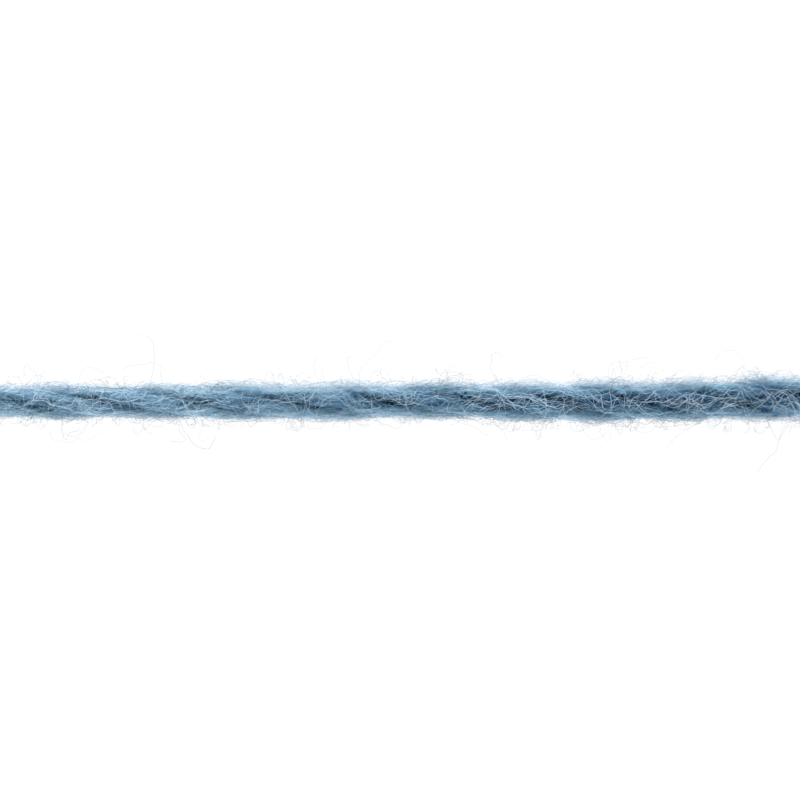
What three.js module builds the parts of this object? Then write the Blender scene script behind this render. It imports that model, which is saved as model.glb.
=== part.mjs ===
// A cut length of soft four-ply knitting yarn, lying straight on a flat surface.
// Millimetres. +X runs along the strand, +Z is up, and the origin is under the middle of its box.
import * as THREE from "three";

// One row for each crown, where a ply stands out on each side of the strand.
// Rows are a quarter turn of the ply twist apart: the yarn is slack where they lie far apart.
// along: place on the strand; across: width over the crown; sideways: drift of the centre line.
const CROWNS = [
  { along: -44.6, across: 2.70, sideways: -0.19 },
  { along: -37.0, across: 2.74, sideways: -0.21 },
  { along: -29.1, across: 2.78, sideways: -0.22 },
  { along: -21.0, across: 2.68, sideways: -0.21 },
  { along: -13.7, across: 2.94, sideways: -0.20 },
  { along: -5.0, across: 2.95, sideways: -0.23 },
  { along: 2.6, across: 2.90, sideways: -0.10 },
  { along: 10.5, across: 3.14, sideways: -0.20 },
  { along: 17.1, across: 3.27, sideways: -0.20 },
  { along: 24.6, across: 3.26, sideways: -0.12 },
  { along: 31.5, across: 3.52, sideways: 0.08 },
  { along: 38.4, across: 3.46, sideways: 0.11 },
  { along: 44.6, across: 3.34, sideways: 0.08 },
];

// The cross-section: round plies pressed into one another, in shares of the strand's radius.
const PLIES = 4;
const PLY_OFFSET = 0.52;
const PLY_RADIUS = 1 - PLY_OFFSET;
const POINTS_PER_PLY = 8;

// The strand is soft, so it settles: its centre lies this share of its radius above the surface.
const SETTLED = 0.8;

// The sizes of the faces along the strand, and the soft rounding of a cut end.
const RINGS_PER_CROWN = 9;
const CUT_ENDS = [
  { beyond: 0.25, share: 0.93 },
  { beyond: 0.4, share: 0.76 },
];

const YARN_BLUE = 0x638299;

const quarters = CROWNS.length - 1;
const pointsAround = PLIES * POINTS_PER_PLY;

// The way through the crowns: x is along, y is sideways and z is across.
const way = new THREE.CatmullRomCurve3(
  CROWNS.map(({ along, sideways, across }) => new THREE.Vector3(along, sideways, across)),
  false,
  "catmullrom",
);

// How far the plies' outline lies from the strand's centre, at an angle from a ply's middle.
function outline(angle) {
  const apart = (2 * Math.PI) / PLIES;
  const fromPly = angle - apart * Math.round(angle / apart);
  const rise = PLY_OFFSET * Math.sin(fromPly);
  return PLY_OFFSET * Math.cos(fromPly) + Math.sqrt(PLY_RADIUS ** 2 - rise ** 2);
}

// A ring of points round the strand, turned with the twist and pressed flat on the surface.
function ring({ quarter, beyond, share }) {
  const { x, y, z: across } = way.getPoint(quarter / quarters);
  const radius = across / 2;
  const twist = (quarter * Math.PI) / 2;
  return Array.from({ length: pointsAround }, (_, i) => {
    const angle = (i * 2 * Math.PI) / pointsAround;
    const reach = radius * share * outline(angle);
    const sideways = y + reach * Math.cos(twist + angle);
    const height = SETTLED * radius + reach * Math.sin(twist + angle);
    return new THREE.Vector3(x + beyond, sideways, Math.max(0, height));
  });
}

// The rings from one cut end to the other.
function ringsAlong() {
  const body = Array.from({ length: quarters * RINGS_PER_CROWN + 1 }, (_, i) => ({
    quarter: i / RINGS_PER_CROWN,
    beyond: 0,
    share: 1,
  }));
  const last = CUT_ENDS.map((end) => ({ ...end, quarter: quarters }));
  const first = CUT_ENDS.map(({ beyond, share }) => ({ quarter: 0, beyond: -beyond, share }));
  return [...first.reverse(), ...body, ...last].map(ring);
}

// The middle of a ring, which the fan that closes an end is drawn to.
function middle(points) {
  const sum = points.reduce((total, point) => total.add(point), new THREE.Vector3());
  return sum.divideScalar(points.length);
}

// One closed skin over the rings, with its faces pointing out.
function strandGeometry() {
  const rings = ringsAlong();
  const points = [...rings.flat(), middle(rings[0]), middle(rings.at(-1))];
  const [firstMiddle, lastMiddle] = [points.length - 2, points.length - 1];
  const lastRing = (rings.length - 1) * pointsAround;
  const faces = [];
  for (let i = 0; i < pointsAround; i += 1) {
    const next = (i + 1) % pointsAround;
    for (let start = 0; start < lastRing; start += pointsAround) {
      const ahead = start + pointsAround;
      faces.push(start + i, start + next, ahead + next);
      faces.push(start + i, ahead + next, ahead + i);
    }
    faces.push(firstMiddle, next, i);
    faces.push(lastMiddle, lastRing + i, lastRing + next);
  }
  const geometry = new THREE.BufferGeometry().setFromPoints(points);
  geometry.setIndex(faces);
  geometry.computeVertexNormals();
  return geometry;
}

const wool = new THREE.MeshStandardMaterial({ color: YARN_BLUE, roughness: 0.95, metalness: 0 });

const strand = new THREE.Mesh(strandGeometry(), wool);
strand.name = "yarn_strand";

const yarn = new THREE.Group();
yarn.add(strand);

export default yarn;
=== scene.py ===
# %% [markdown]
# A cut length of soft four-ply knitting yarn, seen from straight above.
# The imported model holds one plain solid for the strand. Everything that makes it look like
# wool is built here: plies with a fibrous skin, and thousands of separate fibres on them.

# %% Load the frame
from math import pi, tau

import bpy
import numpy as np
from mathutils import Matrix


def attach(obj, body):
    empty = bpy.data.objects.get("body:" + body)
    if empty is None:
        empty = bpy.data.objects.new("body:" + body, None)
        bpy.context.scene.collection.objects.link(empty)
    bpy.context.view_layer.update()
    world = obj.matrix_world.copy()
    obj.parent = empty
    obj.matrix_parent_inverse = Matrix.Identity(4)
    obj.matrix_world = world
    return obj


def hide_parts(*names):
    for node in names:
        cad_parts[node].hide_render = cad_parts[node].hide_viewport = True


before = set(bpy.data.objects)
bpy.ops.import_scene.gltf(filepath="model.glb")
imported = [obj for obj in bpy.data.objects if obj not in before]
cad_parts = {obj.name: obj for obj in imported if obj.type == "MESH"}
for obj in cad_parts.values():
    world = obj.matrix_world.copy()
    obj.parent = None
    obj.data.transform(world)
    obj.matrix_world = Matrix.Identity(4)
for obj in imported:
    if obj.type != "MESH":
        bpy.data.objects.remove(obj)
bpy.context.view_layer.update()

# %% [markdown]
# Yarn is thick and thin. Each row of this table is a crown, where a ply stands out on both
# sides, and rows are a quarter turn of the twist apart. The same rows shape the CAD solid, so
# the soft yarn lies exactly where the solid does. A smooth curve runs through the rows.

# %% The crowns of the strand
MM = 0.001
CROWNS = np.array([  # millimetres: along, across, sideways
    (-44.6, 2.70, -0.19),
    (-37.0, 2.74, -0.21),
    (-29.1, 2.78, -0.22),
    (-21.0, 2.68, -0.21),
    (-13.7, 2.94, -0.20),
    (-5.0, 2.95, -0.23),
    (2.6, 2.90, -0.10),
    (10.5, 3.14, -0.20),
    (17.1, 3.27, -0.20),
    (24.6, 3.26, -0.12),
    (31.5, 3.52, 0.08),
    (38.4, 3.46, 0.11),
    (44.6, 3.34, 0.08),
])
FIRST, LAST = CROWNS[0, 0], CROWNS[-1, 0]
PLIES = 4
PLY_OFFSET = 0.52   # of the strand's radius
PLY_RADIUS = 0.48   # of the strand's radius
SETTLED = 0.8       # of the strand's radius: the height of its centre above the surface
QUARTER = pi / 2
print("crowns:", len(CROWNS), "from", CROWNS[:, 1].min(), "to", CROWNS[:, 1].max(), "mm across")


# %% The way of the strand
def along_crowns(quarter):
    """The table's columns at places in quarter turns, on a smooth curve through its rows."""
    before, after = 2 * CROWNS[0] - CROWNS[1], 2 * CROWNS[-1] - CROWNS[-2]
    rows = np.vstack([before, CROWNS, after])
    i = np.clip(quarter.astype(int), 0, len(CROWNS) - 2)
    u = (quarter - i)[:, None]
    a, b, c, d = (rows[i + k] for k in range(4))
    slope = (c - a) * u + (2 * a - 5 * b + 4 * c - d) * u**2
    return b + 0.5 * (slope + (3 * b - a - 3 * c + d) * u**3)


WAY_POINTS = 3000
quarters = np.linspace(0, len(CROWNS) - 1, WAY_POINTS)
way = along_crowns(quarters)


def strand(x):
    """The twist in quarter turns, the radius, and the centre's place sideways and up."""
    turned = np.interp(x, way[:, 0], quarters)
    across = np.interp(x, way[:, 0], way[:, 1])
    sideways = np.interp(x, way[:, 0], way[:, 2])
    return turned, across / 2, sideways, SETTLED * across / 2


print("strand:", round(LAST - FIRST, 1), "mm between its cuts,", len(CROWNS) - 1, "quarter turns")

# %% [markdown]
# The photograph looks straight down, so the camera hangs over the strand with a long lens.
# A long lens far away keeps the plies from swelling in the middle as a near one would.

# %% Camera
PIXEL = 0.0857          # millimetres of the strand to a pixel of the photograph
PICTURE = 800           # pixels, the width and the height of the photograph
STRAND_ROW = 402        # pixel row on which the thin end of the strand lies
VIEW_WIDTH = PICTURE * PIXEL
CAMERA_UP = 600.0       # millimetres over the strand
SENSOR = 36.0
camera_y = CROWNS[0, 2] + (STRAND_ROW - PICTURE // 2) * PIXEL

camera_data = bpy.data.cameras.new("camera")
camera_data.sensor_width = SENSOR
camera_data.lens = SENSOR * CAMERA_UP / VIEW_WIDTH
camera_data.clip_start, camera_data.clip_end = 0.01, 20
camera = bpy.data.objects.new("camera", camera_data)
camera.location = (0, camera_y * MM, (CAMERA_UP + CROWNS[:, 1].mean() / 2) * MM)
bpy.context.scene.collection.objects.link(camera)
bpy.context.scene.camera = camera
print("camera: lens", round(camera_data.lens, 1), "mm, view", round(VIEW_WIDTH, 1), "mm wide")

# %% [markdown]
# Wool is dyed as loose fibre, so no two fibres take quite the same blue. A pattern on the
# whole strand could vary it, but it would run on from one fibre to the next. So each fibre
# has a tone, from dark to pale, and a warmth, from blue to tan. Both are attributes of its
# mesh, and stay with the fibre wherever it wanders. The group below makes them a colour.
# Besides the dye, the tone carries painted shade and painted light, which are set further down.

# %% The colours of the dye
DARKEST, PALEST = -0.25, 1.0
BLUES = (  # tone, colour
    (DARKEST, (0.010, 0.042, 0.105, 1)),
    (0.05, (0.032, 0.094, 0.190, 1)),
    (0.50, (0.145, 0.320, 0.460, 1)),
    (0.75, (0.315, 0.520, 0.670, 1)),
    (PALEST, (0.600, 0.770, 0.885, 1)),
)
TAN = (0.420, 0.330, 0.230, 1)
ROSE = (0.520, 0.420, 0.450, 1)


def tone_share(tone):
    """How far a tone lies on the way from the darkest to the palest."""
    return (tone - DARKEST) / (PALEST - DARKEST)


def fill_ramp(node, stops):
    """Sets a new ramp's two ends and adds the stops between, each a place and a colour."""
    elements = node.color_ramp.elements
    for element, (place, colour) in zip(elements, (stops[0], stops[-1])):
        element.position = place
        element.color = colour
    for place, colour in stops[1:-1]:
        elements.new(place).color = colour


def new_group(name, inputs, output):
    """A shader group with its sockets, each a name and a kind, and its two end nodes."""
    group = bpy.data.node_groups.new(name, "ShaderNodeTree")
    for socket_name, kind in inputs:
        group.interface.new_socket(socket_name, in_out="INPUT", socket_type=kind)
    group.interface.new_socket(output[0], in_out="OUTPUT", socket_type=output[1])
    source = group.nodes.new("NodeGroupInput")
    sink = group.nodes.new("NodeGroupOutput")
    return group, group.nodes, group.links, source, sink


# %% The dyed wool group
def dyed_wool():
    """Tone picks a blue, and warmth mixes it with tan or rose."""
    inputs = (("Tone", "NodeSocketFloat"), ("Warmth", "NodeSocketFloat"))
    output = ("Colour", "NodeSocketColor")
    group, nodes, links, source, sink = new_group("dyed wool", inputs, output)
    share = nodes.new("ShaderNodeMath")
    share.operation = "MULTIPLY_ADD"
    share.inputs[1].default_value = 1 / (PALEST - DARKEST)
    share.inputs[2].default_value = tone_share(0)
    blues = nodes.new("ShaderNodeValToRGB")
    fill_ramp(blues, [(tone_share(tone), colour) for tone, colour in BLUES])
    warm = nodes.new("ShaderNodeValToRGB")
    fill_ramp(warm, [(0, TAN), (1, ROSE)])
    mix = nodes.new("ShaderNodeMix")
    mix.data_type = "RGBA"
    links.new(source.outputs["Tone"], share.inputs[0])
    links.new(share.outputs["Value"], blues.inputs["Fac"])
    links.new(source.outputs["Tone"], warm.inputs["Fac"])
    links.new(source.outputs["Warmth"], mix.inputs["Factor"])
    links.new(blues.outputs["Color"], mix.inputs["A"])
    links.new(warm.outputs["Color"], mix.inputs["B"])
    links.new(mix.outputs["Result"], sink.inputs["Colour"])
    return group


wool_group = dyed_wool()
print("dye:", len(BLUES), "blues from tone", DARKEST, "to", PALEST)

# %% Wool materials
WOOL_SHINE = 0.02


def attribute(nodes, name):
    node = nodes.new("ShaderNodeAttribute")
    node.attribute_name = name
    return node.outputs["Fac"]


def wool_material(name, roughness):
    """A matt material fed by the dyed wool group, with what is needed to tune it further."""
    material = bpy.data.materials.new(name)
    material.use_nodes = True
    nodes, links = material.node_tree.nodes, material.node_tree.links
    shader = nodes["Principled BSDF"]
    shader.inputs["Roughness"].default_value = roughness
    shader.inputs["Specular IOR Level"].default_value = WOOL_SHINE
    dye = nodes.new("ShaderNodeGroup")
    dye.node_tree = wool_group
    links.new(attribute(nodes, "warmth"), dye.inputs["Warmth"])
    links.new(dye.outputs["Colour"], shader.inputs["Base Color"])
    return material, nodes, links, shader, dye


# %% [markdown]
# Light goes into a wool fibre and comes out a little further on, which scattering under the
# surface gives: thin fuzz glows and its shadows stay soft. Wool is matt and hardly shines. The
# fibres are thinner than a pixel, so they need no pattern of their own.

# %% Fibre material
SCATTERED = 0.012   # millimetres that light goes inside a fibre
fibre_wool, nodes, links, shader, dye = wool_material("wool_fibre", 0.7)
links.new(attribute(nodes, "tone"), dye.inputs["Tone"])
shader.inputs["Subsurface Weight"].default_value = 1.0
shader.inputs["Subsurface Radius"].default_value = (1.0, 1.0, 1.0)
shader.inputs["Subsurface Scale"].default_value = SCATTERED * MM
print("fibre material: light goes", SCATTERED, "mm in")

# %% [markdown]
# Under the loose fibres lies the body of each ply. Its skin is felted by fibres too
# fine to model one by one, so noise that is stretched along three directions of the ply's own
# map draws them as crossing lines. A second noise bends the map a little, as crimp bends wool.
# The map runs along the ply and round it, both in millimetres.

# %% Felted lines group
LINE_LONG, LINE_WIDE = 1.6, 0.075    # millimetres


def felted_lines():
    """Fibre lines on a map in millimetres, turned by an angle."""
    inputs = (("Map", "NodeSocketVector"), ("Turn", "NodeSocketVector"))
    output = ("Lines", "NodeSocketFloat")
    group, nodes, links, source, sink = new_group("felted lines", inputs, output)
    turn = nodes.new("ShaderNodeMapping")
    turn.vector_type = "TEXTURE"
    turn.inputs["Scale"].default_value = (LINE_LONG, LINE_WIDE, 1)
    noise = nodes.new("ShaderNodeTexNoise")
    noise.inputs["Scale"].default_value = 1.0
    noise.inputs["Detail"].default_value = 2.0
    links.new(source.outputs["Map"], turn.inputs["Vector"])
    links.new(source.outputs["Turn"], turn.inputs["Rotation"])
    links.new(turn.outputs["Vector"], noise.inputs["Vector"])
    links.new(noise.outputs["Fac"], sink.inputs["Lines"])
    return group


lines_group = felted_lines()
print("felted lines:", LINE_LONG, "mm long,", LINE_WIDE, "mm wide")

# %% Ply material, with the crimped map
CRIMP_LONG, CRIMP_WIDE = 0.9, 0.30   # millimetres
ply_wool, nodes, links, shader, dye = wool_material("wool_ply", 0.85)
lay = nodes.new("ShaderNodeUVMap")
lay.uv_map = "lay"
crimp = nodes.new("ShaderNodeTexNoise")
crimp.inputs["Scale"].default_value = 1 / CRIMP_LONG
crimp.inputs["Detail"].default_value = 1.0
bend = nodes.new("ShaderNodeVectorMath")
bend.operation = "MULTIPLY_ADD"
bend.inputs[1].default_value = (CRIMP_WIDE, CRIMP_WIDE, 0)
links.new(lay.outputs["UV"], crimp.inputs["Vector"])
links.new(crimp.outputs["Color"], bend.inputs[0])
links.new(lay.outputs["UV"], bend.inputs[2])
print("ply map: bent by up to", CRIMP_WIDE, "mm, about every", CRIMP_LONG, "mm")


def math_node(operation, a, b):
    """A math node in the ply material, of an output and either another or a number."""
    node = nodes.new("ShaderNodeMath")
    node.operation = operation
    links.new(a, node.inputs[0])
    if isinstance(b, float):
        node.inputs[1].default_value = b
    else:
        links.new(b, node.inputs[1])
    return node.outputs["Value"]


# %% Ply material, with the felted lines
TURNS = (-0.55, 0.05, 0.60)   # radians, the directions in which the felted fibres lie
LINES_MIDDLE = 0.58           # what the highest of the drawn lines comes to on most of the skin
LINE_CONTRAST = 1.4
SKIN_RELIEF = 0.05            # millimetres

top_lines = None
for angle in TURNS:
    lines = nodes.new("ShaderNodeGroup")
    lines.node_tree = lines_group
    lines.inputs["Turn"].default_value = (0, 0, angle)
    links.new(bend.outputs["Vector"], lines.inputs["Map"])
    drawn = lines.outputs["Lines"]
    top_lines = drawn if top_lines is None else math_node("MAXIMUM", top_lines, drawn)
contrast = math_node("MULTIPLY", math_node("SUBTRACT", top_lines, LINES_MIDDLE), LINE_CONTRAST)
links.new(math_node("ADD", contrast, attribute(nodes, "tone")), dye.inputs["Tone"])
bump = nodes.new("ShaderNodeBump")
bump.inputs["Distance"].default_value = SKIN_RELIEF * MM
bump.inputs["Strength"].default_value = 1.0
links.new(top_lines, bump.inputs["Height"])
links.new(bump.outputs["Normal"], shader.inputs["Normal"])
print("ply material:", len(TURNS), "directions of felted fibres")

# %% [markdown]
# Fibres could be Blender's own hair, which is quick to comb, but hair isn't a mesh and would
# be lost when the part is exported. So they are worked out here as lines of points, all of a
# piece at once, and made tubes. Noise for a fibre is a sum of a few sine waves, so it is
# smooth, seeded and quick.

# %% Helpers for fibres
random = np.random.default_rng(11)
WAVES = 4


def wander(count, places, longest, shortest):
    """A smooth random wave for each fibre, about one unit high, at places in millimetres."""
    length = random.uniform(shortest, longest, (count, WAVES, 1))
    phase = random.uniform(0, tau, (count, WAVES, 1))
    size = random.uniform(0.4, 1, (count, WAVES, 1))
    return (size * np.sin(tau * places[:, None, :] / length + phase)).sum(1) / WAVES**0.5


def outline(angle):
    """How far the plies' outline lies from the strand's centre, in shares of its radius."""
    from_ply = angle - QUARTER * np.round(angle / QUARTER)
    rise = PLY_OFFSET * np.sin(from_ply)
    return PLY_OFFSET * np.cos(from_ply) + np.sqrt(PLY_RADIUS**2 - rise**2)


def round_strand(x, angle, reach):
    """Points at an angle round the strand and a distance from its centre, in millimetres."""
    _, _, sideways, height = strand(x)
    return np.stack([x, sideways + reach * np.cos(angle), height + reach * np.sin(angle)], -1)


def unit(vectors):
    return vectors / np.maximum(np.linalg.norm(vectors, axis=-1, keepdims=True), 1e-9)


crown, groove = outline(np.array([0, QUARTER / 2]))
print("outline, of the radius:", crown.round(3), "on a crown,", groove.round(3), "in a groove")


# %% Pieces from arrays
def new_piece(name, points, faces, material, tone, warmth):
    """A mesh object from arrays, with the two attributes that the dye reads."""
    corners = np.concatenate([f.ravel() for f in faces])
    sizes = np.concatenate([np.full(len(f), f.shape[1]) for f in faces])
    mesh = bpy.data.meshes.new(name)
    mesh.vertices.add(len(points))
    mesh.vertices.foreach_set("co", (points * MM).astype(np.float32).ravel())
    mesh.loops.add(len(corners))
    mesh.loops.foreach_set("vertex_index", corners.astype(np.int32))
    mesh.polygons.add(len(sizes))
    mesh.polygons.foreach_set("loop_start", (np.cumsum(sizes) - sizes).astype(np.int32))
    mesh.polygons.foreach_set("use_smooth", np.ones(len(sizes), bool))
    mesh.update(calc_edges=True)
    for key, values in (("tone", tone), ("warmth", warmth)):
        made = mesh.attributes.new(key, "FLOAT", "POINT")
        made.data.foreach_set("value", values.astype(np.float32))
    mesh.materials.append(material)
    piece = bpy.data.objects.new(name, mesh)
    bpy.context.scene.collection.objects.link(piece)
    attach(piece, "root")
    return piece


def tube_quads(tubes, rings, points):
    """The faces round tubes whose points are numbered tube by tube and ring by ring."""
    start = (np.arange(tubes) * rings * points)[:, None, None]
    ring = (np.arange(rings - 1) * points)[None, :, None]
    k = np.arange(points)[None, None, :]
    after = (k + 1) % points
    corners = (k, after, after + points, k + points)
    return np.stack([start + ring + corner for corner in corners], -1).reshape(-1, 4)


# %% [markdown]
# A fibre is a tube with three sides, which is enough for something thinner than a pixel. A
# side vector is carried from step to step along the line, so the tube never twists over.
# Ends taper and close. Fibres sink no lower than the surface that the yarn lies on.

# %% Fibres into meshes
SIDES = 3
TIP, TAPER = 0.35, 0.625      # of the full width: at the very end, and gained by each step
MOST_TRIANGLES = 190_000


def tube_rings(lines, width):
    """The points of a tube round each line, as (fibre, step, side, xyz)."""
    count, steps, _ = lines.shape
    ahead = unit(np.gradient(lines, axis=1))
    side = unit(np.cross(ahead[:, 0], random.normal(size=(count, 3))))
    from_end = np.minimum(np.arange(steps), np.arange(steps)[::-1])
    taper = np.minimum(1, TIP + TAPER * from_end)
    rings = np.empty((count, steps, SIDES, 3))
    for j in range(steps):
        side = unit(side - (side * ahead[:, j]).sum(-1, keepdims=True) * ahead[:, j])
        other = np.cross(ahead[:, j], side)
        for k in range(SIDES):
            arm = np.cos(tau * k / SIDES) * side + np.sin(tau * k / SIDES) * other
            rings[:, j, k] = lines[:, j] + (width * taper[j] / 2)[:, None] * arm
    return rings


def for_each_point(values, count, steps, least):
    """Values for the tubes' points, from the least to 1, of one for each fibre or step."""
    values = np.broadcast_to(values.reshape(count, -1), (count, steps))
    return np.repeat(np.clip(values, least, 1).ravel(), SIDES)


def fibre_piece(name, lines, width, tone, warmth=None):
    """Joins one closed tube for each line into a piece. Lines are (fibre, step, xyz).

    Tone and warmth are one number for each fibre, or one for each of its steps.
    """
    count, steps, _ = lines.shape
    lines = lines.copy()
    lines[..., 2] = np.maximum(lines[..., 2], width[:, None] / 2)
    points = tube_rings(lines, width).reshape(-1, 3)
    start = (np.arange(count) * steps * SIDES)[:, None]
    first = start + np.arange(SIDES)[::-1]
    last = start + (steps - 1) * SIDES + np.arange(SIDES)
    faces = [tube_quads(count, steps, SIDES), first, last]
    tone = for_each_point(tone, count, steps, DARKEST)
    warmth = np.zeros(count) if warmth is None else warmth
    warmth = for_each_point(warmth, count, steps, 0)
    new_piece(name, points, faces, fibre_wool, tone, warmth)
    triangles = count * ((steps - 1) * SIDES * 2 + 2)
    print(f"{name}: {count} fibres, {triangles} triangles")
    assert triangles < MOST_TRIANGLES, name


# %% [markdown]
# Spinning leaves a single streaky: clumps of paler and darker fibres wind along it. Deep in
# the grooves little light is left, so painted shade makes fibres there darker still. Painted
# light makes the flanks pale all along, and painted shade darkens the middle of the strand,
# more from its thin end to its thick one. Low down painted shade darkens the tone too, against
# the light that the bright sheet under the yarn gives from below.

# %% Streaks along the plies
STREAK_WAVES = 14
STREAK_LENGTHS = (5, 16)    # millimetres
MOST_ROUND = 8              # waves round a ply
streak_round = random.integers(1, MOST_ROUND + 1, STREAK_WAVES)
streak_along = tau / random.uniform(*STREAK_LENGTHS, STREAK_WAVES)
streak_phase = random.uniform(0, tau, (PLIES, STREAK_WAVES))


def streak(x, laid, ply):
    """Long clumps of fibres, about one unit high, at an angle that turns with the fibres."""
    total = 0
    for i in range(STREAK_WAVES):
        total = total + np.cos(streak_round[i] * laid + streak_along[i] * x + streak_phase[ply, i])
    return total / (STREAK_WAVES / 2) ** 0.5


print("streaks:", STREAK_WAVES, "waves on each ply")

# %% The tone of a place, with painted light and shade
# Painted light makes the flanks paler, and painted shade darkens the underside.
FLANK_PAINTED_LIGHT, FLANK_POWER = 0.64, 1.3
LOW_PAINTED_SHADE = 0.32
LOW_FROM, LOW_TO = 0.3, -0.6    # of the strand's radius above its centre
LOW_LEAN = 0.4                  # the share of the lean that is left low down
GREY_FROM, GREY_TO = 0.7, 1.0   # of the strand's radius
# Painted shade that darkens the middle of the strand, by a tone that changes along it.
MIDDLE_SHADE_TONES = np.array([  # millimetres along, tone
    (-45.0, -0.08),
    (-20.0, -0.03),
    (0.0, -0.36),
    (34.0, -0.71),
    (45.0, -0.40),
])
# Painted shade: the deeper a point lies in the strand, the darker its tone.
DEPTH_SHADE_TONES = np.array([  # of the strand's radius, tone
    (0.55, 0.27),
    (0.66, 0.30),
    (0.80, 0.37),
    (0.90, 0.48),
    (1.05, 0.66),
])


def place_in_strand(lines):
    """How far points lie across and up from the strand's centre, in its radii."""
    _, radius, sideways, height = strand(lines[..., 0])
    return (lines[..., 1] - sideways) / radius, (lines[..., 2] - height) / radius


def painted_side_light_and_shade(lines):
    """Painted light on the flanks, and painted shade in the middle and on the underside."""
    across, up = place_in_strand(lines)
    share = np.minimum(np.abs(across), 1) ** FLANK_POWER
    low = np.interp(up, (LOW_TO, LOW_FROM), (1, 0))
    lean = np.interp(lines[..., 0], MIDDLE_SHADE_TONES[:, 0], MIDDLE_SHADE_TONES[:, 1])
    lean = lean * (1 - (1 - LOW_LEAN) * low)
    # painted light on the flanks, painted shade in the middle and low down
    return share * FLANK_PAINTED_LIGHT + (1 - share) * lean - LOW_PAINTED_SHADE * low


def tone_at(lines):
    """The tone of points in the plies, with painted shade that makes the deepest the darkest."""
    out = np.hypot(*place_in_strand(lines))
    # painted shade by depth, and the sides' painted light and shade
    return np.interp(out, DEPTH_SHADE_TONES[:, 0], DEPTH_SHADE_TONES[:, 1]) + painted_side_light_and_shade(lines)


def greyed(lines, most):
    """The warmth that greys worn fibres on the strand's sides and underside, up to a most."""
    across, up = place_in_strand(lines)
    return most * np.interp(np.hypot(across, np.minimum(up, 0)), (GREY_FROM, GREY_TO), (0, 1))


tops = round_strand(CROWNS[:, 0], QUARTER, CROWNS[:, 1] / 2)
print("tones along the top, from the thin end:", tone_at(tops).round(2).tolist())

# %% [markdown]
# The plies. Each ply is a tube that winds round the strand's centre line, as in the
# CAD solid, but a little thinner, because its outer fibres come next. A curve with a round
# bevel would wind as well, but it couldn't be pressed flat below or carry the streaks. Its
# thickness drifts, as a single's does in spinning.

# %% One ply
PLY_RINGS, PLY_POINTS = 420, 22
CORE_OFFSET, CORE_RADIUS = 0.46, 0.37      # of the strand's radius
SINGLES_TWIST = 1.4                        # of the ply twist, the other way
STREAK_TONE, STREAK_RELIEF = 0.12, 0.025   # tone, and a share of the ply's radius
DRIFT, DRIFT_WAVES = 0.03, (14, 4)         # of the ply's radius, and millimetres
END_SHARE, END_LONG = 0.55, 0.35           # of the radius at a cut, and millimetres to the full one
OVER_FLOOR = 0.01                          # millimetres
ply_x = np.linspace(FIRST, LAST, PLY_RINGS)
round_ply = np.arange(PLY_POINTS) * tau / PLY_POINTS


def in_ply(x, ply, angle, reach, offset):
    """Points at an angle and distance from a ply's centre line, at its offset in the strand."""
    turned, radius, _, _ = strand(x)
    points = round_strand(x, (turned + ply) * QUARTER, offset * radius)
    points[..., 1] += reach * np.cos(angle)
    points[..., 2] += reach * np.sin(angle)
    return points


def ply_tube(ply):
    """One ply's packed core, ring by ring: its points, its map in millimetres and its tone."""
    x = np.repeat(ply_x[:, None], PLY_POINTS, 1)
    turned, radius, _, _ = strand(x)
    around = (turned + ply) * QUARTER
    laid = round_ply + (1 + SINGLES_TWIST) * around
    clumps = streak(x, laid, ply)
    drift = DRIFT * wander(1, ply_x[None], *DRIFT_WAVES)[0][:, None]
    from_cut = np.sqrt(np.minimum(x - FIRST, LAST - x) / END_LONG)
    ends = np.minimum(1, END_SHARE + (1 - END_SHARE) * from_cut)
    reach = CORE_RADIUS * radius * (1 + drift + STREAK_RELIEF * clumps) * ends
    points = in_ply(x, ply, around + round_ply, reach, CORE_OFFSET)
    # painted shade by depth and the sides' painted light and shade, with the real streaks
    tone = tone_at(points) + STREAK_TONE * clumps
    points[..., 2] = np.maximum(points[..., 2], OVER_FLOOR)
    return points, np.stack([x, laid * CORE_RADIUS * radius], -1), tone


print("one ply:", PLY_RINGS, "rings of", PLY_POINTS, "points")


# %% The four plies in one piece
CUT_TONE = 0.45   # in the middle of a cut ply


def fans():
    """The triangles that close both ends of each ply round a middle point."""
    k = np.arange(PLY_POINTS)[None]
    after = (k + 1) % PLY_POINTS
    first = (np.arange(PLIES) * PLY_RINGS * PLY_POINTS)[:, None]
    last = first + (PLY_RINGS - 1) * PLY_POINTS
    middle = PLIES * PLY_RINGS * PLY_POINTS + 2 * np.arange(PLIES)[:, None] + 0 * k
    begin_fans = np.stack([middle, first + after, first + k], -1)
    end_fans = np.stack([middle + 1, last + k, last + after], -1)
    return np.concatenate([begin_fans, end_fans]).reshape(-1, 3)


def add_map(piece, mapped):
    """The map that the felted lines are drawn on, from a place for each point."""
    index = np.empty(len(piece.data.loops), np.int32)
    piece.data.loops.foreach_get("vertex_index", index)
    lay_map = piece.data.uv_layers.new(name="lay")
    lay_map.data.foreach_set("uv", mapped[index].astype(np.float32).ravel())


def plies_piece():
    tubes = [ply_tube(ply) for ply in range(PLIES)]
    rings, maps, tones = (np.array(values) for values in zip(*tubes))
    middles = rings[:, [0, -1]].mean(2)
    points = np.concatenate([rings.reshape(-1, 3), middles.reshape(-1, 3)])
    faces = [tube_quads(PLIES, PLY_RINGS, PLY_POINTS), fans()]
    tone = np.append(tones.ravel(), np.full(2 * PLIES, CUT_TONE))
    piece = new_piece("yarn_plies", points, faces, ply_wool, tone, 0 * tone)
    mapped = maps.reshape(-1, 2)
    add_map(piece, np.concatenate([mapped, mapped[: 2 * PLIES]]))
    return piece


plies = plies_piece()
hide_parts("yarn_strand")
print("plies:", len(plies.data.polygons), "faces")

# %% [markdown]
# Fibres that lie on the plies make most of what is seen. A single is spun the other way from
# the ply twist, so on a crown its fibres run almost straight along the strand. Each one comes
# up out of its ply, follows it for a few millimetres and dives back in. A pattern on the plies
# would look like them from afar, but it has no shadows and no loose edge.

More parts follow.
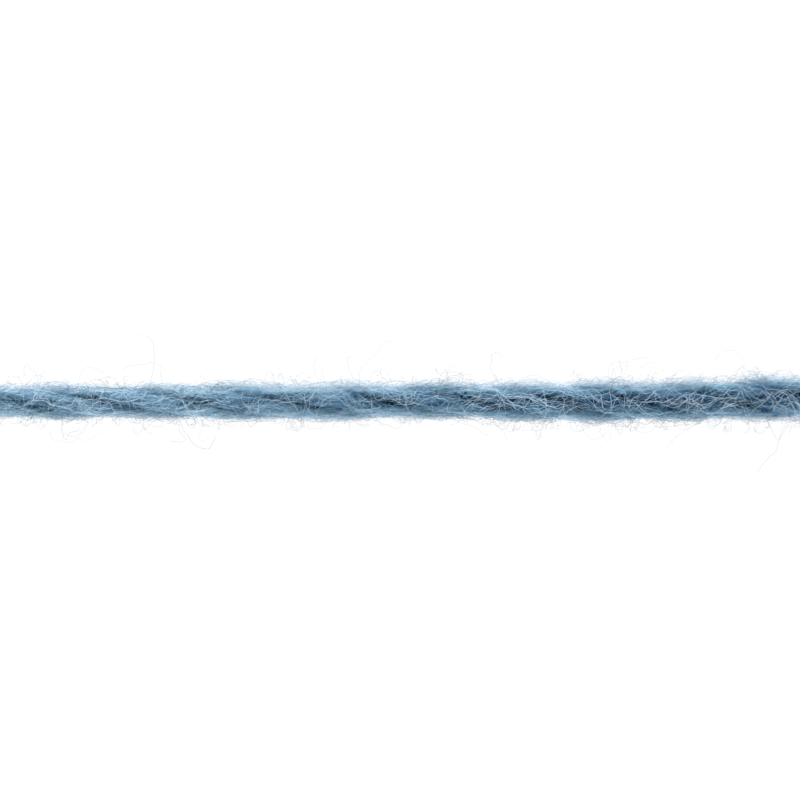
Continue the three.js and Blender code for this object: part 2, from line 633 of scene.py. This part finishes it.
# %% Fibres lying on the plies
LAID_PIECES, LAID_COUNT, LAID_STEPS = 2, 2400, 10
LAID_LENGTH, LAID_WIDTH = (2.2, 4.6), (0.018, 0.038)   # millimetres
LAID_ROUND, LAID_CRIMP = 1.5, 0.11    # radians
LAID_SLANT = 0.50                     # radians to a millimetre
CRIMP_WAVES, RIPPLE_WAVES = (1.8, 0.9), (4, 1.0)       # millimetres, longest and shortest
LAID_STREAK, LAID_NOISE = 0.09, 0.17  # tone
LEVELS = (0.56, 0.90)       # of the ply's full radius, from the deepest to the outermost
MOSTLY_DEEP = 1.3           # the higher, the more of them lie deep
RIPPLE, CLUMP_RISE, DIVE = 0.03, 0.04, 1.2   # of the ply's full radius
UNDERSIDE = -0.5    # of the ply's offset: plies below it are seen least and get fewer fibres
PAST_CUT = 0.5      # millimetres


def spans(count, lengths, steps, middle):
    """Places along each fibre, which ends at most a little way past the cuts of the strand."""
    half = random.uniform(*lengths, (count, 1)) / 2
    begin = np.maximum(middle - half, FIRST - random.uniform(0, PAST_CUT, (count, 1)))
    end = np.minimum(middle + half, LAST + random.uniform(0, PAST_CUT, (count, 1)))
    return begin + (end - begin) * np.linspace(0, 1, steps)[None]


def laid_fibres(count, steps):
    """The lines and tones of fibres that follow their ply."""
    middle = random.uniform(FIRST + PAST_CUT, LAST - PAST_CUT, (count, 1))
    ply = random.integers(0, PLIES, (count, 1))
    under = np.sin((strand(middle)[0] + ply) * QUARTER) < UNDERSIDE
    ply = np.where(under, random.integers(0, PLIES, (count, 1)), ply)
    x = spans(count, LAID_LENGTH, steps, middle)
    turned, radius, _, _ = strand(x)
    around = (turned + ply) * QUARTER
    laid = (1 + SINGLES_TWIST) * (strand(middle)[0] + ply) * QUARTER
    laid = laid + random.uniform(-LAID_ROUND, LAID_ROUND, (count, 1))
    laid = laid + LAID_CRIMP * wander(count, x - middle, *CRIMP_WAVES)
    laid = laid + random.normal(0, LAID_SLANT, (count, 1)) * (x - middle)
    clumps = streak(x, laid, ply)
    deepest, outermost = LEVELS
    level = deepest + (outermost - deepest) * random.uniform(0, 1, (count, 1)) ** MOSTLY_DEEP
    level = level + RIPPLE * wander(count, x - middle, *RIPPLE_WAVES) + CLUMP_RISE * clumps
    level = level - DIVE * np.linspace(-0.5, 0.5, steps)[None] ** 4
    reach = level * PLY_RADIUS * radius
    lines = in_ply(x, ply, laid - SINGLES_TWIST * around, reach, PLY_OFFSET)
    # painted shade by depth and the sides' painted light and shade, with real streaks and noise
    tone = tone_at(lines) + LAID_STREAK * clumps + random.normal(0, LAID_NOISE, (count, 1))
    return lines, tone


for i in range(LAID_PIECES):
    lines, tone = laid_fibres(LAID_COUNT, LAID_STEPS)
    fibre_piece(f"laid_fibres_{i + 1}", lines, random.uniform(*LAID_WIDTH, LAID_COUNT), tone)

# %% [markdown]
# Loose fibres rove over the plies in any direction. They start and end in the yarn and lift
# off it between. Crimp makes them kinked: nearly straight for a millimetre, then quickly
# turned. Towards the strand's thick end there are a few more of them.

# %% Where loose fibres lie
MORE_AT_THICK_END = 0.15   # 0 spreads them evenly, 1 leaves none at the thin end
LIFTED = 0.45              # the share of the lower fibres that lies above instead


def even_places(count):
    return random.uniform(FIRST, LAST, (count, 1))


def places_along(count):
    """Random places along the strand, closer together towards its thick end."""
    u = random.uniform(0, 1, (count, 1))
    lean = MORE_AT_THICK_END
    share = (np.sqrt((1 - lean) ** 2 + 4 * lean * u) - (1 - lean)) / (2 * lean)
    return FIRST + (LAST - FIRST) * share


def places_round(count, lean):
    """Random angles round the strand, on its flanks with a lean of 1, on top with one of -1."""
    angle = random.uniform(0, tau, (count, 1))
    lifted = (angle > pi) & (random.uniform(0, 1, (count, 1)) < LIFTED)
    angle = np.where(lifted, -angle, angle)
    return angle - lean / 2 * np.sin(2 * angle)


# %% How loose fibres rove
BEND_WAVES, KINK_WAVES = (6.0, 2.0), (1.8, 0.8)     # millimetres, longest and shortest
KINK, KINK_SHARPNESS = 0.5, 2    # a kink's share of the turning, and how sudden it is
CRINKLE = 0.017      # millimetres, how far the fine crimp of wool throws a fibre off its way
LIFT, LIFT_WAVES = 0.05, (2.6, 0.9)     # of the strand's radius, and millimetres
MOSTLY_LOW = 1.6     # the higher, the fewer fibres rise far
BOW = 0.6            # the lower, the sooner a fibre is up
NEAR_SIDE = 0.4      # the share of its height that the fuzz keeps on the strand's nearer side
ROOT = 0.72          # of the strand's radius, where a fibre leaves the yarn and comes back
MEAN_OUTLINE = 0.88  # of the strand's radius
OVERHANG = 0.4       # of a fibre's length, and millimetres, that its middle may lie past a cut


def roving_fibres(x, angle, lengths, steps, heights, slant, turning):
    """Fibres that walk over the strand, between two heights in shares of its radius."""
    count = len(x)
    length = random.uniform(*lengths, (count, 1))
    share = np.linspace(0, 1, steps)[None]
    places = length * share
    heading = random.normal(0, slant, (count, 1)) + turning * wander(count, places, *BEND_WAVES)
    kinks = np.tanh(KINK_SHARPNESS * wander(count, places, *KINK_WAVES))
    heading = heading + KINK * turning * kinks
    stride = length / (steps - 1)
    ahead = np.cumsum(np.cos(heading), 1) * stride
    spare = OVERHANG * length - OVERHANG
    x = np.clip(x, FIRST + spare, LAST - spare) + ahead - ahead.mean(1, keepdims=True)
    turned, radius, _, _ = strand(x)
    fuzz = np.interp(np.cos(angle), (-1, 0), (NEAR_SIDE, 1))
    round_way = np.cumsum(np.sin(heading), 1) * stride
    angle = angle + (round_way - round_way.mean(1, keepdims=True)) / radius
    lowest, highest = heights
    rise = random.uniform(0, 1, (count, 1)) ** MOSTLY_LOW * fuzz * (highest - lowest) + lowest
    humps = outline(angle - turned * QUARTER) - MEAN_OUTLINE
    lift = LIFT * wander(count, places, *LIFT_WAVES)
    bow = np.sin(pi * share) ** BOW
    lines = round_strand(x, angle, radius * (ROOT + (rise - ROOT + lift) * bow + humps))
    return lines + random.normal(0, CRINKLE, lines.shape)


# %% [markdown]
# Short pale fibres make a thin haze. The dark plies show through it from above, while it
# blurs the strand's edges, where the eye looks along it. A mist would blur them too, but
# close up it would show no single fibre.

# %% Haze
HAZE_PIECES, HAZE_COUNT = 2, 5100
HAZE_WIDTH, HAZE_NOISE, HAZE_GREY = (0.014, 0.0255), 0.12, 0.18
HAZE_WAY = dict(lengths=(0.9, 2.6), steps=5, heights=(0.80, 1.25), slant=0.5, turning=0.6)
# Painted shade: haze that lies deeper gets a darker tone.
HAZE_DEPTHS, HAZE_SHADE_TONES = (0.75, 0.95), (0.40, 0.60)
ON_FLANKS = 0.9   # how far fuzz keeps to the flanks

for i in range(HAZE_PIECES):
    x = even_places(HAZE_COUNT)
    lines = roving_fibres(x, places_round(HAZE_COUNT, ON_FLANKS), **HAZE_WAY)
    out = np.hypot(*place_in_strand(lines))
    # painted shade by depth, and the sides' painted light and shade
    tone = np.interp(out, HAZE_DEPTHS, HAZE_SHADE_TONES) + painted_side_light_and_shade(lines)
    tone = tone + random.normal(0, HAZE_NOISE, (HAZE_COUNT, 1))
    width = random.uniform(*HAZE_WIDTH, HAZE_COUNT)
    fibre_piece(f"haze_{i + 1}", lines, width, tone, greyed(lines, HAZE_GREY))

# %% [markdown]
# Longer fibres are the bright threads that cross the grooves, more of them on top than on
# the flanks. Finer and shorter ones fill in between.

# %% Crossing fibres
CROSSING_WAY = dict(lengths=(2.0, 6.0), steps=18, heights=(0.95, 1.12), slant=1.0, turning=0.58)
FINE_WAY = dict(lengths=(1.2, 4.0), steps=11, heights=(0.90, 1.08), slant=0.8, turning=0.55)


def loose_fibres(name, x, rove, lean, width, tone, noise, grey=0.0):
    """A piece of roving fibres, from their places along and their lean towards the flanks."""
    count = len(x)
    lines = roving_fibres(x, places_round(count, lean), **rove)
    tones = random.normal(tone, noise, (count, 1))
    fibre_piece(name, lines, random.uniform(*width, count), tones, greyed(lines, grey))


loose_fibres(
    "crossing_fibres", places_along(560), CROSSING_WAY,
    lean=-0.35, width=(0.018, 0.038), tone=0.97, noise=0.06,
)
loose_fibres(
    "fine_crossing_fibres", even_places(1350), FINE_WAY,
    lean=-0.3, width=(0.014, 0.024), tone=0.76, noise=0.12,
)

# %% [markdown]
# A few fibres of another colour get into every batch of wool. The photograph shows a tan one
# and some pink ones on the near side, so these are placed one by one.

# %% Tinted fibres
TINTED = np.array([  # millimetres along, degrees round from the far flank, tone
    (-15.0, 112, 0.30),
    (-12.6, 100, 0.20),
    (-10.0, 88, 0.40),
    (10.7, 75, 0.90),
    (24.0, 92, 1.00),
    (33.2, 108, 0.10),
])
TINTED_WAY = dict(lengths=(2.0, 3.5), steps=26, heights=(0.98, 1.06), slant=0.2, turning=0.5)
TINTED_WIDTH, TINTED_WARMTH = 0.034, 0.85

lines = roving_fibres(TINTED[:, :1], np.radians(TINTED[:, 1:2]), **TINTED_WAY)
width = np.full(len(TINTED), TINTED_WIDTH)
warmth = np.full(len(TINTED), TINTED_WARMTH)
fibre_piece("tinted_fibres", lines, width, TINTED[:, 2], warmth)

# %% [markdown]
# Hairs stand clear of the yarn. Short ones are crinkled and sit in tufts, where the yarn has
# rubbed against something, and a few long ones wave about. Each is a walk that starts in the
# yarn, heads outwards and is drawn back the further it gets. Worn hairs hold less dye and are
# greyer. The photograph shows more of them on the strand's near side.

# %% Roots of the hairs
TUFTS = np.array([  # millimetres along, degrees round from the far flank
    (-31.8, 20), (-25.2, 10), (-16.0, 30), (-8.6, 15), (-5.6, 5), (4.0, 20), (15.5, 10),
    (21.6, 25), (27.0, 15), (30.4, 20), (33.0, 10), (-41.0, 60), (40.0, 40),
    (-31.0, 175), (-28.2, 185), (-23.6, 170), (-13.0, 160), (-5.2, 180), (1.2, 170),
    (14.6, 180), (18.8, 170), (23.0, 185), (30.0, 175), (38.0, 150), (-38.0, 120),
    (-35.5, 178), (-18.5, 174), (-9.0, 183), (8.0, 176), (11.5, 170), (27.0, 175), (33.5, 182),
])
TUFT_SPREAD = (0.9, 0.35)   # millimetres along, radians round
MOVED_NEARER = 0.3          # the share of the far side's hairs that goes to the near side
HAIRS_ON_FLANKS = 0.5
FROM_CUT = 0.1              # millimetres, the least distance of a root from a cut


def hair_roots(count, in_tufts):
    """Places along and round the strand, of which a share lies in the tufts."""
    x, angle = places_along(count), places_round(count, HAIRS_ON_FLANKS)
    nearer = (np.cos(angle) > 0) & (random.uniform(0, 1, (count, 1)) < MOVED_NEARER)
    angle = np.where(nearer, pi - angle, angle)
    tuft = TUFTS[random.integers(0, len(TUFTS), count)]
    spread = random.normal(0, 1, (count, 2)) * TUFT_SPREAD
    tufted = random.uniform(0, 1, (count, 1)) < in_tufts
    x = np.where(tufted, tuft[:, :1] + spread[:, :1], x)
    angle = np.where(tufted, np.radians(tuft[:, 1:]) + spread[:, 1:], angle)
    return np.clip(x, FIRST + FROM_CUT, LAST - FROM_CUT), angle


print("tufts:", len(TUFTS))

# %% Standing hairs
HAIR_ROOT, HAIR_FREE = 0.82, 1.1    # of the strand's radius: its root, and where it is drawn back
HAIR_TONE, HAIR_NOISE, HAIR_GREY = 0.36, 0.12, 0.22
START_NOISE, START_ALONG = 0.8, (1.3, 0.8, 0.8)     # hairs start more along the strand than across
HAIR_CRINKLE = 0.7 * CRINKLE


def standing_hairs(x, angle, stride, steps, outward, turning, drawn_back):
    """Walks outwards from roots in the yarn, drawn back towards it by the share of a radius."""
    count = len(x)
    _, radius, sideways, height = strand(x)
    at = round_strand(x, angle, HAIR_ROOT * radius)[:, 0]
    way_out = np.concatenate([0 * x, np.cos(angle), np.sin(angle)], 1)
    astray = random.normal(0, START_NOISE, (count, 3)) * START_ALONG
    heading = unit(outward * way_out + astray)
    centre = np.concatenate([x, sideways, height], 1)
    lines = np.empty((count, steps, 3))
    for j in range(steps):
        lines[:, j] = at
        off = (at - centre) * (0, 1, 1)
        beyond = np.linalg.norm(off, axis=1, keepdims=True) / radius - HAIR_FREE
        pull = drawn_back * np.maximum(beyond, 0) * unit(off)
        heading = unit(heading + turning * random.normal(0, 1, (count, 3)) - pull)
        at = at + stride * heading
    return lines + random.normal(0, HAIR_CRINKLE, lines.shape)


def hairs(name, count, in_tufts, stride, width, **walk):
    """A piece of hairs. Stride and width are in millimetres, from the least to the most."""
    x, angle = hair_roots(count, in_tufts)
    strides = random.uniform(*stride, (count, 1))
    lines = standing_hairs(x, angle, strides, **walk)
    tones = random.normal(HAIR_TONE, HAIR_NOISE, count)
    fibre_piece(name, lines, random.uniform(*width, count), tones, greyed(lines, HAIR_GREY))


hairs(
    "short_hairs", 1250, in_tufts=0.40, stride=(0.08, 0.18), width=(0.016, 0.026),
    steps=11, outward=1.0, turning=0.45, drawn_back=0.8,
)
hairs(
    "curled_hairs", 340, in_tufts=0.35, stride=(0.10, 0.20), width=(0.013, 0.021),
    steps=24, outward=1.2, turning=0.34, drawn_back=0.40,
)
hairs(
    "long_hairs", 78, in_tufts=0.20, stride=(0.15, 0.30), width=(0.012, 0.019),
    steps=26, outward=1.5, turning=0.22, drawn_back=0.08,
)

# %% [markdown]
# Wisps float along the strand, just clear of it, and soften its outline.

# %% Wisps
WISP_WAY = dict(lengths=(1.5, 4.5), steps=10, heights=(0.96, 1.36), slant=0.35, turning=0.5)

loose_fibres(
    "wisps", even_places(800), WISP_WAY,
    lean=ON_FLANKS, width=(0.014, 0.022), tone=0.40, noise=0.10, grey=HAIR_GREY,
)

# %% [markdown]
# Both ends are cut with scissors. Fibres of every ply come out of a cut like the bristles of
# a brush and spread a little, because nothing presses on them any more. The plies' flat ends
# alone would look like cut rubber.

# %% Fibres at the cut ends
CUT_COUNT, CUT_STEPS, CUT_WIDTH = 700, 6, (0.022, 0.040)
CUT_LENGTH, CUT_SUNK = (0.8, 1.5), (0.5, 0.9)   # millimetres
CUT_CRIMP, CUT_WAVES = 0.2, (1.6, 0.8)          # radians, and millimetres
CUT_SHARE = 0.75    # of the area of a ply's section, which these fibres fill from its middle
CUT_SPREAD = 0.35   # of a fibre's distance from the middle of its ply
CUT_INWARD = 0.04   # of the strand's radius, how far the loosened plies draw in
CUT_FIBRE_TONE, CUT_FIBRE_NOISE = 0.66, 0.12


def cut_fibres(count, steps):
    """The lines of fibres that stand in the cuts, along their ply."""
    thick_end = random.integers(0, 2, (count, 1)) == 1
    cut = np.where(thick_end, LAST, FIRST)
    way_out = np.where(thick_end, 1, -1)
    length = random.uniform(*CUT_LENGTH, (count, 1))
    sunk = random.uniform(*CUT_SUNK, (count, 1))
    share = np.linspace(0, 1, steps)[None]
    x = cut + way_out * (length * share - sunk)
    ply = random.integers(0, PLIES, (count, 1))
    angle = random.uniform(0, tau, (count, 1))
    angle = angle + CUT_CRIMP * wander(count, length * share, *CUT_WAVES)
    reach = np.sqrt(random.uniform(0, CUT_SHARE, (count, 1))) * PLY_RADIUS * strand(cut)[1]
    return in_ply(x, ply, angle, reach * (1 + CUT_SPREAD * share**2), PLY_OFFSET - CUT_INWARD)


lines = cut_fibres(CUT_COUNT, CUT_STEPS)
width = random.uniform(*CUT_WIDTH, CUT_COUNT)
tone = random.normal(CUT_FIBRE_TONE, CUT_FIBRE_NOISE, (CUT_COUNT, 1))
fibre_piece("cut_fibres", lines, width, tone)

# %% [markdown]
# The strand lies on a plain white sheet that glows, as a lit studio table does. A sheet that
# was only lit would show the lamps' falloff and a shadow, which the photograph doesn't.

# %% The white sheet
FLOOR_HALF, FLOOR_DOWN = 2.0, 0.02 * MM   # metres
GLOW = 0.98

floor_mesh = bpy.data.meshes.new("floor")
floor_corners = ((-1, -1), (1, -1), (1, 1), (-1, 1))
floor_points = [(x * FLOOR_HALF, y * FLOOR_HALF, -FLOOR_DOWN) for x, y in floor_corners]
floor_mesh.from_pydata(floor_points, [], [(0, 1, 2, 3)])
floor = bpy.data.objects.new("floor", floor_mesh)
bpy.context.scene.collection.objects.link(floor)
sheet = bpy.data.materials.new("white_sheet")
sheet.use_nodes = True
shader = sheet.node_tree.nodes["Principled BSDF"]
shader.inputs["Base Color"].default_value = (0.05, 0.05, 0.05, 1)
shader.inputs["Roughness"].default_value = 0.9
shader.inputs["Specular IOR Level"].default_value = 0.1
shader.inputs["Emission Color"].default_value = (1, 1, 1, 1)
shader.inputs["Emission Strength"].default_value = GLOW
floor_mesh.materials.append(sheet)
print("sheet: glows at", GLOW)

# %% [markdown]
# The dome over the sheet is bright at the horizon and dark overhead, and two wide lamps stand
# on both sides, the far one a little stronger. So the flanks are the strand's palest parts
# and its middle is the darkest, as in the photograph. One big lamp overhead would be simpler,
# but it would light the middle most.

# %% Dome
ROOF, ROOF_FROM = 0.04, 0.35   # brightness, and the height on the dome from which it holds
world = bpy.data.worlds.new("studio")
bpy.context.scene.world = world
world.use_nodes = True
nodes, links = world.node_tree.nodes, world.node_tree.links
direction = nodes.new("ShaderNodeTexCoord")
split = nodes.new("ShaderNodeSeparateXYZ")
tent = nodes.new("ShaderNodeValToRGB")
fill_ramp(tent, [(0, (1, 1, 1, 1)), (ROOF_FROM, (ROOF, ROOF, ROOF, 1))])
links.new(direction.outputs["Generated"], split.inputs["Vector"])
links.new(split.outputs["Z"], tent.inputs["Fac"])
links.new(tent.outputs["Color"], nodes["Background"].inputs["Color"])
nodes["Background"].inputs["Strength"].default_value = 1.0
print("dome: 1 at the horizon,", ROOF, "overhead")

# %% Lamps
LAMP_SIDE, LAMP_UP = 0.64, 0.25   # metres from the strand
LAMP_LONG, LAMP_HIGH = 0.9, 0.25  # metres
LAMPS = (("lamp_far", LAMP_SIDE, 9.8), ("lamp_near", -LAMP_SIDE, 6.6))   # name, place, watts


def lamp(name, side, power):
    """A wide soft lamp that points at the middle of the strand."""
    data = bpy.data.lights.new(name, "AREA")
    data.shape = "RECTANGLE"
    data.size, data.size_y = LAMP_LONG, LAMP_HIGH
    data.energy = power
    made = bpy.data.objects.new(name, data)
    made.location = (0, side, LAMP_UP)
    made.rotation_euler = (-made.location).to_track_quat("-Z", "Y").to_euler()
    bpy.context.scene.collection.objects.link(made)


for name, side, power in LAMPS:
    lamp(name, side, power)
bpy.context.scene.view_settings.view_transform = "Standard"
print("lamps:", [f"{name} {power} W" for name, side, power in LAMPS])
